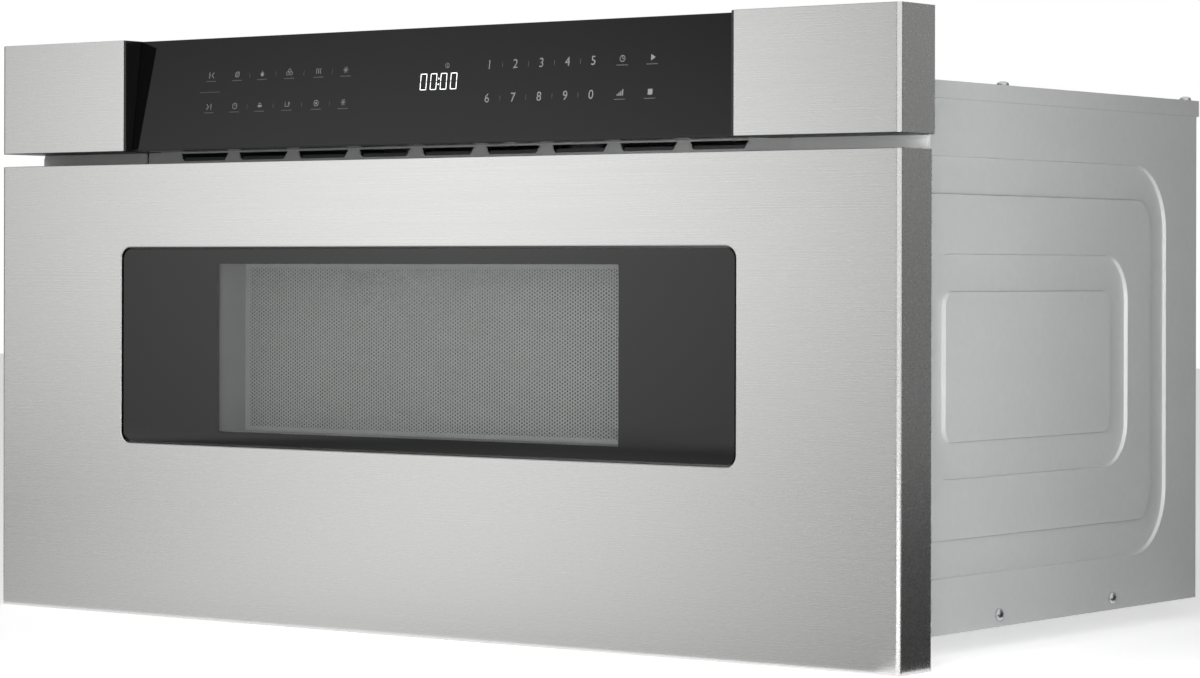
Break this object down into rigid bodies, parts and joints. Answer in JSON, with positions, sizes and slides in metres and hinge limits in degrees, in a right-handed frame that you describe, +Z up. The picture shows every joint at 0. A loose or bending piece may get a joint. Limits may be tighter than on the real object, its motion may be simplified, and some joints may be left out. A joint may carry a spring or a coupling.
{
  "type": "microwave drawer",
  "caption": "Built-in microwave oven with a stainless front, a leaning black glass control panel and a windowed oven drawer that slides straight out on rails.",
  "frame": {"origin": "middle of the underside of the base pan, on the shelf that carries the unit", "axes": "+X to the user's right along the front, +Y back into the cabinet, +Z up"},
  "size_m": [0.762, 0.429, 0.402],
  "materials": {
    "brushed_stainless": "horizontal brushed grain",
    "galvanised_steel": "matt galvanised sheet",
    "zinc_plate": "bright zinc plate",
    "grey_paint": "satin grey coating",
    "cavity_enamel": "smooth grey enamel",
    "black_glass": "black glass, polished",
    "clear_glass": "clear",
    "black_plastic": "satin black",
    "circuit_board": "solder mask",
    "copper_wire": "varnished winding",
    "laminated_steel": "varnished laminations",
    "glass_ceramic": "smooth",
    "nylon": "natural nylon",
    "aluminium": "plain"
  },
  "bodies": {
    "chassis": {"base_pan": "galvanised_steel", "left_side_panel": "galvanised_steel", "right_side_panel": "galvanised_steel", "rear_panel": "galvanised_steel", "top_cover": "galvanised_steel", "front_frame": "galvanised_steel", "vent_strip": "galvanised_steel", "control_housing": "black_plastic", "left_trim_block": "brushed_stainless", "right_trim_block": "brushed_stainless", "control_glass": "black_glass", "display_board": "circuit_board", "power_board": "circuit_board", "cavity_liner": "cavity_enamel", "waveguide": "galvanised_steel", "stirrer_cover": "nylon", "stirrer_motor": "zinc_plate", "magnetron": "aluminium", "transformer_core": "laminated_steel", "transformer_winding": "copper_wire", "hv_capacitor": "aluminium", "fan_housing": "black_plastic", "fan_motor": "zinc_plate", "cavity_lamp": "glass_ceramic", "left_outer_rail": "zinc_plate", "right_outer_rail": "zinc_plate", "drive_gearbox": "black_plastic", "drive_motor": "zinc_plate", "switch_bracket": "zinc_plate", "primary_switch": "black_plastic", "secondary_switch": "black_plastic", "cord_gland": "black_plastic", "left_top_screw_1": "zinc_plate", "left_top_screw_2": "zinc_plate", "left_side_screw_1": "zinc_plate", "left_side_screw_2": "zinc_plate", "right_top_screw_1": "zinc_plate", "right_top_screw_2": "zinc_plate", "right_side_screw_1": "zinc_plate", "right_side_screw_2": "zinc_plate"},
    "drawer": {"drawer_front_skin": "brushed_stainless", "window_glass": "black_glass", "glass_carrier": "grey_paint", "window_screen": "grey_paint", "inner_pane": "clear_glass", "door_inner_frame": "grey_paint", "choke_cover": "black_plastic", "tub": "cavity_enamel", "ceramic_tray": "glass_ceramic", "left_inner_rail": "zinc_plate", "right_inner_rail": "zinc_plate", "drive_rack": "nylon", "striker": "nylon"},
    "left_middle_rail": {"left_middle_rail": "zinc_plate"},
    "right_middle_rail": {"right_middle_rail": "zinc_plate"},
    "drive_pinion": {"drive_pinion": "nylon"},
    "fan_wheel": {"fan_wheel": "aluminium"},
    "stirrer": {"stirrer": "aluminium"},
    "primary_plunger": {"primary_plunger": "nylon"},
    "secondary_plunger": {"secondary_plunger": "nylon"}
  },
  "joints": [
    {"name": "drawer_slide", "type": "slide", "parent": "chassis", "child": "drawer", "axis": [0, -1, 0], "range_m": [0, 0.32]},
    {"name": "left_rail_slide", "type": "slide", "parent": "chassis", "child": "left_middle_rail", "axis": [0, -1, 0], "range_m": [0, 0.1601]},
    {"name": "right_rail_slide", "type": "slide", "parent": "chassis", "child": "right_middle_rail", "axis": [0, -1, 0], "range_m": [0, 0.1601]},
    {"name": "pinion_turn", "type": "hinge", "parent": "chassis", "child": "drive_pinion", "pos_m": [0, -0.17, 0.03175], "axis": [1, 0, 0], "range_deg": [0, 1147]},
    {"name": "fan_turn", "type": "hinge", "parent": "chassis", "child": "fan_wheel", "pos_m": [0.302, -0.127, 0.19], "axis": [1, 0, 0], "continuous": true},
    {"name": "stirrer_turn", "type": "hinge", "parent": "chassis", "child": "stirrer", "pos_m": [0, -0.027, 0.253], "axis": [0, 0, 1], "continuous": true},
    {"name": "primary_press", "type": "slide", "parent": "chassis", "child": "primary_plunger", "axis": [0, 1, 0], "range_m": [0, 0.002], "stiffness_N_per_m": 300},
    {"name": "secondary_press", "type": "slide", "parent": "chassis", "child": "secondary_plunger", "axis": [0, 1, 0], "range_m": [0, 0.002], "stiffness_N_per_m": 300}
  ],
  "couplings": [
    {"joint": "left_rail_slide", "follows": "drawer_slide", "ratio": 0.5},
    {"joint": "right_rail_slide", "follows": "drawer_slide", "ratio": 0.5},
    {"joint": "pinion_turn", "follows": "drawer_slide", "rad_per_m": 62.5}
  ]
}
